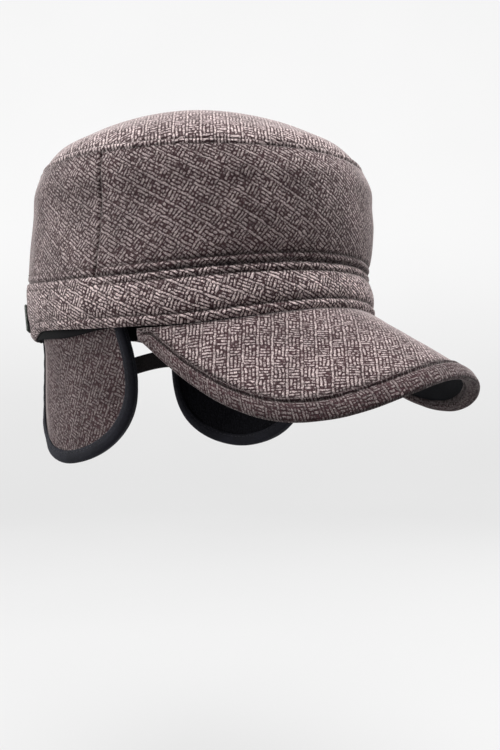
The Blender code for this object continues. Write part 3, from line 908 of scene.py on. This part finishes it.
def add_sweatband():
    away = from_front(ALL_ROUND)
    start, full, last, end = SWEATBAND_DROP_ANGLES
    drop = SWEATBAND_DROP * eased(away, start, full) * (1 - eased(away, last, end))
    shares = np.array((0, 0.01, 0.03, 0.06, 0.1, 0.2, 0.35, 0.5, 0.7, 0.9, 0.97, 1))
    low = (GAP - drop)[:, None]
    height = low + (SWEATBAND_RISE - low) * shares
    angle = np.repeat(ALL_ROUND[:, None], len(shares), 1)
    out = outward(angle)
    base = band_base(angle, np.clip(height, 0, None) / BAND_HEIGHT)
    base[..., 2] += np.minimum(height, 0)
    base -= (TWEED + GAP + SWEATBAND / 2) * out
    up = lengths_across(base)
    edge = edge_round(np.minimum(up, up[:, -1:] - up), SWEATBAND / 2)
    face = (SWEATBAND / 2 - edge)[..., None] * out
    swell = swells(base, SWEATBAND_SWELLS, 41)[..., None] * out * (base[..., 2:] < 0)
    cloth = closed(np.stack((angle * HEAD_RADIUS, up), -1))
    cloth[-1, :, 0] += 2 * pi * HEAD_RADIUS
    outer = base + face + swell
    add_cloth("sweatband_tape", "sweatband", "sweatband", outer, base - face, cloth, band_tape, wrap=True)


# Peak


def even(chain, shares):
    """Points at shares of the length of a chain."""
    run = running_length(chain)
    return np.stack([np.interp(shares * run[-1], run, axis) for axis in chain.T], -1)


class Peak:
    """The middle layer of the peak. u runs from corner to corner (-1 to 1), inset back from the free edge."""

    HALF = (PEAK_TWEED + GAP + PEAK_LINING) / 2

    def __init__(self):
        turns = np.linspace(0, 1, 241)
        corner = ring_point(RIM, np.float64(PEAK_CORNER_ANGLE))
        tip_y = -RIM_LENGTH / 2 - PEAK_REACH
        slope = (corner[2] + PEAK_ARCH + PEAK_TIP_DROP) / (corner[1] - tip_y)
        angle = turns * PEAK_CORNER_ANGLE
        self.fall, self.arch = slope, PEAK_ARCH / corner[0] ** 2
        self.root = ring_point(RIM, angle) - PEAK_ROOT_INSET * outward(angle)
        self.root[:, 2] -= 2 * GAP + self.HALF
        x = corner[0] * np.sin(turns * pi / 2) ** PEAK_SIDE_POWER
        y = corner[1] + (tip_y - corner[1]) * np.clip(np.cos(turns * pi / 2), 0, None) ** PEAK_FRONT_POWER
        z = slope * (y - tip_y) - PEAK_TIP_DROP - PEAK_ARCH * (x / corner[0]) ** 2
        self.edge = np.stack((x, y, z), -1)
        shares = np.linspace(0, 1, 61)
        self.end = shares[self.length(np.sin(shares * pi / 2)) > PEAK_END_LENGTH].max()

    def ends(self, u):
        side = np.where(u > 0, 1.0, -1.0)[..., None]
        flip = np.concatenate((side, np.ones_like(side), np.ones_like(side)), -1)
        return [even(chain, np.abs(u).ravel()).reshape(*u.shape, 3) * flip for chain in (self.root, self.edge)]

    def length(self, u):
        root, edge = self.ends(u)
        return np.linalg.norm(edge - root, axis=-1)

    def grid(self, u, inset):
        """Points of the middle layer for a grid of u and inset, and the peak's lengths there."""
        root, edge = self.ends(u)
        length = np.linalg.norm(edge - root, axis=-1)
        w = 1 - inset / length
        points = root + w[..., None] * (edge - root)
        points[..., 2] += PEAK_BULGE * length / PEAK_REACH * 4 * w * (1 - w)
        return points, length

    def normals(self, u, inset):
        """Unit normals of the middle layer, from its slopes."""
        step = 0.004
        ahead, behind = (self.grid(np.clip(u + d, -1, 1), inset)[0] for d in (step, -step))
        near, far = (self.grid(u, inset + d)[0] for d in (-0.0004, 0.0004))
        normal = unit(np.cross(ahead - behind, near - far))
        return normal * np.where(normal[..., 2] < 0, -1, 1)[..., None]


def peak_flat(peak, points):
    """Place on the flat cloth: the peak is a sloping arch, unrolled from its middle line."""
    x, y = points[..., 0], points[..., 1]
    slant = np.sqrt(1 + peak.fall**2)
    bend = 2 * peak.arch / slant
    across = (x * np.sqrt(1 + (bend * x) ** 2) + np.arcsinh(bend * x) / bend) / 2
    return across, y * slant - peak.fall * bend / 2 * x**2


def add_peak_faces(peak):
    stations = np.sin(np.linspace(-peak.end, peak.end, 181) * pi / 2)
    layers = (
        ("peak_top_cloth", 1, PEAK_TWEED, PEAK_BINDING_TOP, peak_tweed, "tweed", "peak_top"),
        ("peak_under_lining", -1, PEAK_LINING, PEAK_BINDING_UNDER, peak_cotton, "peak_lining",
         "peak_underside"),
    )
    for name, side, thick, strip, material, slot, node in layers:
        shares = np.concatenate((np.linspace(0, 0.9, 36), np.linspace(0.92, 1, 6)))
        u = np.repeat(stations[:, None], len(shares), 1)
        length = peak.length(u)
        last = np.minimum(strip - MM, length - PEAK_END_CLEARANCE)
        inset = length + (last - length) * shares
        base, length = peak.grid(u, inset)
        normal = peak.normals(u, inset) * side
        from_band = length - inset
        swell = swells(base, PEAK_SWELLS, 51) * eased(from_band, 0, 0.006) * eased(inset - last, 0, 0.004)
        outer = base + (Peak.HALF + swell)[..., None] * normal
        inner = base + (Peak.HALF - thick) * normal
        cloth = turned(*peak_flat(peak, base), PEAK_GRAIN)
        # Painted shade where the peak meets the band and where the edge strip lies over it.
        painted_shade = np.maximum(0.7 * bell(from_band, 0, 0.0012), 0.95 * bell(inset - last, 0.001, 0.0017))
        add_cloth(name, slot, node, outer, inner, cloth, material, painted_shade)


def add_peak_binding(peak):
    """The tweed strip folded over the edge, rolled, with a stitched groove near its inner edge."""
    stations = np.sin(np.linspace(-peak.end, peak.end, 221) * pi / 2)
    rows_in = (0, 0.2, 0.45, 0.7, 1, 1.3, 1.6, 1.9, 2.1, 2.3, 2.5, 2.7, 3, 3.4, 3.9, 4.6)
    rows_in = MM * np.array(rows_in + (5.4, 6.3, 7.2, 8.1, 9, 9.8, 10.5))
    top_turn = np.arcsin(rows_in / PEAK_BINDING_TOP)
    phi = np.concatenate((top_turn, np.linspace(0.43, 0.57, 9) * pi, np.linspace(0.60, 1, 20) * pi))
    half = len(phi) // 2
    u = np.repeat(stations[:, None], len(phi), 1)
    side = np.where(phi < pi / 2, 1.0, -1.0)
    width = np.where(side > 0, PEAK_BINDING_TOP, PEAK_BINDING_UNDER)
    width = np.minimum(width, peak.length(u) - PEAK_END_CLEARANCE)

    def folded(tip, lift, roundness, rise=0.0):
        """One face of the strip: it starts a tip inside the edge and lies a lift off the middle layer."""
        inset = tip + (width - tip) * (1 - np.sin(phi))
        base, _ = peak.grid(u, inset)
        height = lift * np.abs(np.cos(phi)) ** roundness + rise
        normal = peak.normals(u, np.maximum(inset, 0.0002))
        return base + (side * height)[..., None] * normal, normal

    inset = width * (1 - np.sin(phi))
    from_inner = width - inset
    room = eased(width, 0.003, 0.008)
    groove = np.where(side > 0, PEAK_BINDING_TOP - PEAK_STITCH, PEAK_BINDING_UNDER - 0.006)
    rise = profile(from_inner, STRIP_EDGE) + profile(from_inner - groove, STRIP_GROOVE) * room
    rise += (profile(from_inner, STRIP_WELT) + profile(inset, STRIP_ROLL)) * room
    base, _ = peak.grid(u, inset)
    run = np.repeat(running_length(base[:, half])[:, None], len(phi), 1)
    rise += puckers(run, from_inner, STRIP_GATHERS, 61) + swells(base, STRIP_SWELLS, 62)
    outer, normal = folded(0.0, Peak.HALF + GAP + BINDING, 0.62, rise)
    inner, _ = folded(BINDING, Peak.HALF + GAP, 0.25)
    cloth = turned(run, side * from_inner, EDGE_GRAIN)
    # Painted shade along the strip's inner edge and in its stitch groove.
    painted_shade = bell(from_inner, 0, 0.0010) + 0.9 * bell(from_inner, groove, STITCH_SHADE)
    painted_shade = np.clip(painted_shade, 0, 1) * room
    add_cloth("peak_edge_strip", "tweed", "peak_binding", outer, inner, cloth, edge_tweed, painted_shade)
    top = (slice(8, -8), slice(0, half))
    lie = grid_normals(outer, False, side[None, :, None] * normal)
    path, out = line_at(outer[top], lie[top], from_inner[top], PEAK_BINDING_TOP - PEAK_STITCH)
    add_stitches("peak_stitches", path, out, "tweed", thread)


# Ear flaps


class Flap:
    """The middle layer of an ear flap. s runs back from its middle, h down; side is 1 on the right."""

    HALF = (FLAP_TWEED + GAP + FLEECE) / 2
    INSET = TWEED + GAP + SWEATBAND + GAP + BINDING + GAP + HALF

    def __init__(self, side):
        self.side = side

    def middle(self, s, h):
        below = np.clip(h - SWEATBAND_DROP, 0, None) / (FLAP_DROP - SWEATBAND_DROP)
        angle = self.side * (FLAP_ANGLE + (s + FLAP_SWEEP * below) / HEAD_RADIUS)
        tuck = FLAP_TUCK * eased(s, 0.004, 0.040) * eased(h, -0.005, 0.012)
        point = ring_point(RIM, angle) - (self.INSET + FLAP_LEAN * below + tuck)[..., None] * outward(angle)
        point[..., 0] -= self.side * FLAP_TWIST * below * s / (FLAP_WIDTH / 2)
        point[..., 2] -= h
        return point

    def point(self, s, h, lift):
        step = 0.001
        along = self.middle(s + step, h) - self.middle(s - step, h)
        across = self.middle(s, h + step) - self.middle(s, h - step)
        normal = unit(np.cross(along, across))
        normal *= np.where(normal[..., :1] * self.side > 0, -1, 1)
        return self.middle(s, h) + np.asarray(lift)[..., None] * normal, normal

    def outline(self, station, inset):
        """(s, h) on the outline: station 0 is the root at the back, 1 the tip, 2 the root in front."""
        station, inset = np.broadcast_arrays(station, inset)
        turn = 1 - np.abs(1 - station)
        back = np.where(station <= 1, 1.0, -1.0)
        angle = pi / 2 * np.clip(turn, 0, None) ** 2
        h = (FLAP_DROP - inset) * np.sin(angle) ** FLAP_END_POWER
        neck = np.where(station > 1, FLAP_NECK * (1 - h / FLAP_DROP) ** 3, 0)
        power = np.where(station > 1, FLAP_FRONT_POWER, FLAP_BACK_POWER)
        s = back * (FLAP_WIDTH / 2 - neck - inset) * np.clip(np.cos(angle), 0, None) ** power
        return s, np.where(turn >= 0, h, -FLAP_ROOT * np.clip(-turn, 0, 1))


def tape_width(station):
    """How wide the tape lies on the flap: narrow at both roots, wider round the tip."""
    return TAPE_AT_ROOT + (TAPE_AT_TIP - TAPE_AT_ROOT) * bell(station, 1, 0.45)


def add_flap_faces(flap, name):
    """The tweed face and the fleece face, each a grid from the back edge to the front edge."""
    down = np.concatenate((np.linspace(-1, 0, 9)[:-1], np.linspace(0, 0.999, 60)))
    across = np.concatenate((np.linspace(0, 0.1, 6), np.linspace(0.13, 0.87, 26), np.linspace(0.9, 1, 6)))
    inset = BINDING + 2 * GAP
    back, front = flap.outline(down, inset), flap.outline(2 - down, inset)
    s, h = (a[:, None] + (b - a)[:, None] * across for a, b in zip(back, front))
    edge = np.minimum(across, 1 - across)[None, :] * np.abs(front[0] - back[0])[:, None]
    edge = np.minimum(edge, flap.outline(1.0, 0.0)[1] - h)
    sheets = (
        ("cloth", 1, FLAP_TWEED, flap_tweed, "tweed", FLAP_GRAIN, 0.0004),
        ("fleece", -1, FLEECE, fleece_pile, "fleece", 0, 0.0010),
    )
    for layer, side, thick, material, slot, grain, puff in sheets:
        swell = (puff + swells(flap.middle(s, h), FLAP_SWELLS, 71)) * eased(edge, TAPE_AT_TIP - MM, 0.030)
        outer, _ = flap.point(s, h, side * (Flap.HALF + swell))
        inner, _ = flap.point(s, h, side * (Flap.HALF - thick) + 0 * s)
        cloth = turned(flap.side * s, -h, grain) + (0.05, 0.02)
        add_cloth(f"{name}_{layer}_face", slot, f"{name}_{layer}", outer, inner, cloth, material)


def add_flap_binding(flap, name):
    """The puffed black tape folded over the flap's edge, all round from root to root."""
    down = np.concatenate((np.linspace(-1, 0, 9)[:-1], np.linspace(0, 1, 70)))
    stations = np.concatenate((down, 2 - down[-2::-1]))
    phi = np.concatenate((np.linspace(0, 0.38, 12), np.linspace(0.42, 0.58, 9), np.linspace(0.62, 1, 12))) * pi
    station = np.repeat(stations[:, None], len(phi), 1)
    side = np.where(phi < pi / 2, 1.0, -1.0)[None, :]
    cover = Flap.HALF + GAP + BINDING
    width = tape_width(station)
    inset = width * (1 - np.sin(phi))
    s, h = flap.outline(station, inset)
    middle = flap.middle(s, h)
    half = len(phi) // 2
    run = np.repeat(running_length(middle[:, half])[:, None], len(phi), 1)
    from_inner = width - inset
    lift = cover * np.abs(np.cos(phi)) ** 0.5 + profile(from_inner, TAPE_RELIEF)
    lift += puckers(run, from_inner, TAPE_GATHERS, 81) + swells(middle, TAPE_SWELLS, 82)
    lift = np.where(np.abs(np.cos(phi)) < 0.02, 0, lift)
    outer, normal = flap.point(s, h, side * lift)
    deep = BINDING + (width - BINDING) * (1 - np.sin(phi))
    s_in, h_in = flap.outline(station, deep)
    inner, _ = flap.point(s_in, h_in, side * (Flap.HALF + GAP) * np.abs(np.cos(phi)) ** 0.25)
    cloth = np.stack((run, side * from_inner), -1)
    add_cloth(f"{name}_bound_edge", "flap_binding", f"{name}_binding", outer, inner, cloth, bias_tape)
    for face, part in (("outer", slice(0, half)), ("inner", slice(len(phi) - 1, half, -1))):
        lie = side[:, part, None] * normal[:, part]
        path, out = line_at(outer[:, part], lie, from_inner[:, part], TAPE_STITCH)
        add_stitches(f"{name}_edge_stitches_{face}", path, out, "flap_binding", black_thread, radius=0.00017)


# Strap and label


def strap_line():
    """Points of the strap and its way up, from inside the right flap round the nape to the left one."""
    flap = Flap(1)
    lift = -(Flap.HALF + GAP + BINDING + GAP + STRAP_THICKNESS / 2)
    edge = FLAP_WIDTH / 2
    under_flap = np.linspace(edge - STRAP_OVERLAP, edge, 9)
    held, _ = flap.point(under_flap, np.full(9, STRAP_FLAP_DROP), np.full(9, lift))
    drops = STRAP_FLAP_DROP + np.array((-0.5, 0.5)) * STRAP_WIDTH
    (top, bottom), _ = flap.point(np.full(2, edge), drops, np.full(2, lift))
    flap_up = unit(top - bottom)
    nape = np.array((0, STRAP_NAPE_REACH, -STRAP_NAPE_DROP))
    leave = unit(held[-1] - held[0])
    reach = np.linalg.norm(nape - held[-1])
    t = np.linspace(0, 1, 61)[1:, None]
    pull = reach * (t * (1 - t) ** 2 * leave - t * t * (1 - t) * np.array((1.0, 0, 0)))
    free = held[-1] + (nape - held[-1]) * t * t * (3 - 2 * t) + pull
    up = unit(flap_up + (UP - flap_up) * t)
    points = np.concatenate((held, free))
    ups = np.concatenate((np.repeat(flap_up[None], len(held), 0), up))
    mirror = np.array((-1, 1, 1))
    return np.concatenate((points, points[-2::-1] * mirror)), np.concatenate((ups, ups[-2::-1] * mirror))


def add_strap():
    points, ups = strap_line()
    out = unit(np.cross(ups, np.gradient(points, axis=0)))
    shares = np.linspace(-0.5, 0.5, 15)
    edge = edge_round((0.5 - np.abs(shares)) * STRAP_WIDTH, STRAP_THICKNESS / 2)
    rib = 0.00008 * np.cos(2 * pi * shares * 5)
    face = (STRAP_THICKNESS / 2 - edge + rib)[None, :, None] * out[:, None]
    base = points[:, None] + (shares * STRAP_WIDTH)[None, :, None] * ups[:, None]
    cloth = turned(running_length(points)[:, None], shares * STRAP_WIDTH, 0)
    add_cloth("nape_elastic", "elastic", "nape_strap", base + face, base - face, cloth, elastic_web)


def add_label():
    """A bare plate on the puffed band, with rounded edges."""
    turn = LABEL_WIDTH / RIM_LENGTH
    angles = LABEL_ANGLE + turn * np.linspace(-1, 1, 33)
    low = LABEL_LIFT / BAND_HEIGHT
    heights = low + LABEL_HEIGHT / BAND_HEIGHT * np.linspace(0, 1, 21)
    angle, height = np.meshgrid(angles, heights, indexing="ij")
    base = band_base(angle, height) + (band_fullness(angle) + GAP)[..., None] * outward(angle)
    across, along = lengths_across(base), lengths_along(base)
    edge = np.minimum(np.minimum(across, across[:, -1:] - across), np.minimum(along, along[-1:] - along))
    lift = LABEL_THICKNESS - 0.6 * edge_round(edge, LABEL_THICKNESS)
    outer = base + lift[..., None] * outward(angle)
    cloth = np.stack((along, across), -1)
    add_cloth("back_patch", "label", "back_label", outer, base, cloth, patch_finish)


add_wall("crown_front_cloth", -SIDE_SEAM_ANGLE, SIDE_SEAM_ANGLE, "crown_front", 3)
add_wall("crown_back_cloth", SIDE_SEAM_ANGLE, 2 * pi - SIDE_SEAM_ANGLE, "crown_back", 11)
add_top()
add_band()
add_sweatband()
visor = Peak()
add_peak_faces(visor)
add_peak_binding(visor)
for side, name in ((1, "right_flap"), (-1, "left_flap")):
    add_flap_faces(Flap(side), name)
    add_flap_binding(Flap(side), name)
add_strap()
add_label()


# Studio


def add_floor():
    """A round pale floor that curves up into a wall. It glows with painted light, brighter up the wall than on
    the floor, and gives no diffuse light to the cap.
    """
    turn = np.linspace(0, pi / 2, 25)
    radii = np.concatenate(((0.0, 0.4, 0.8), FLOOR_RADIUS + COVE_RADIUS * np.sin(turn)))
    radii = np.append(radii, radii[-1])
    heights = np.concatenate(((0.0, 0.0, 0.0), COVE_RADIUS * (1 - np.cos(turn)), (WALL_TOP,))) - FLOOR_DROP
    around = np.linspace(0, 2 * pi, 96, endpoint=False)
    corners = [(r * np.cos(a), r * np.sin(a), z) for r, z in zip(radii, heights) for a in around]
    mesh = bpy.data.meshes.new("studio_floor")
    mesh.from_pydata(corners, [], tube_faces(len(radii), len(around)))
    mesh.shade_smooth()
    material, shader, surface = new_material("studio paper", (0.15, 0.15, 0.15), 0.9, 0.0, 0.5, (1, 1, 1))
    place = shader.add("ShaderNodeTexCoord").outputs["Object"]
    height = shader.parts(place)[2]
    grain = shader.span(shader.noise(place, 3.0).outputs["Fac"], 0.0, 1.0, 0.985, 1.015)
    # Painted light: the paper glows, brighter higher up, in place of lamplight falling on it.
    glow = shader.times(shader.span(height, -FLOOR_DROP - 0.02, 0.35, 0.645, 0.84), grain)
    surface.inputs["Emission Color"].default_value = (1, 1, 1, 1)
    shader.put(surface.inputs["Emission Strength"], glow)
    mesh.materials.append(material)
    floor = bpy.data.objects.new("studio_floor", mesh)
    floor.visible_diffuse = False
    bpy.context.scene.collection.objects.link(floor)


def add_light(name, place, size, power):
    """A square soft box that faces the middle of the cap."""
    light = bpy.data.lights.new(name, "AREA")
    light.shape = "SQUARE"
    light.size = size
    light.energy = power
    lamp = bpy.data.objects.new(name, light)
    away = unit(place - 0.03 * UP)
    side = unit(np.cross(UP, away))
    turn = Matrix((side, np.cross(away, side), away)).transposed().to_4x4()
    lamp.matrix_world = Matrix.Translation(place) @ turn
    lamp.visible_camera = False
    bpy.context.scene.collection.objects.link(lamp)


def add_camera():
    camera = bpy.data.cameras.new("photo_camera")
    camera.sensor_width = 36
    camera.lens = CAMERA_LENS
    camera.clip_start = 0.01
    camera.clip_end = 50
    view = bpy.data.objects.new("photo_camera", camera)
    look, right = unit(np.array(CAMERA_LOOK)), unit(np.array(CAMERA_RIGHT))
    turn = Matrix((right, np.cross(right, look), -look)).transposed().to_4x4()
    view.matrix_world = Matrix.Translation(CAMERA_PLACE) @ turn
    bpy.context.scene.collection.objects.link(view)
    bpy.context.scene.camera = view


add_floor()
add_camera()
add_light("overhead_box", (-0.24, -0.23, 1.20), 0.9, 29)
add_light("left_box", (-0.70, 1.08, 0.35), 0.7, 13.5)
add_light("right_box", (1.05, -0.68, 0.34), 0.7, 15)
add_light("floor_bounce", (-0.42, 0.00, -0.28), 0.9, 2.2)

world = bpy.data.worlds.new("studio")
bpy.context.scene.world = world
world.use_nodes = True
world.node_tree.nodes["Background"].inputs["Color"].default_value = (1, 1, 1, 1)
world.node_tree.nodes["Background"].inputs["Strength"].default_value = 0.06
bpy.context.scene.view_settings.view_transform = "Standard"
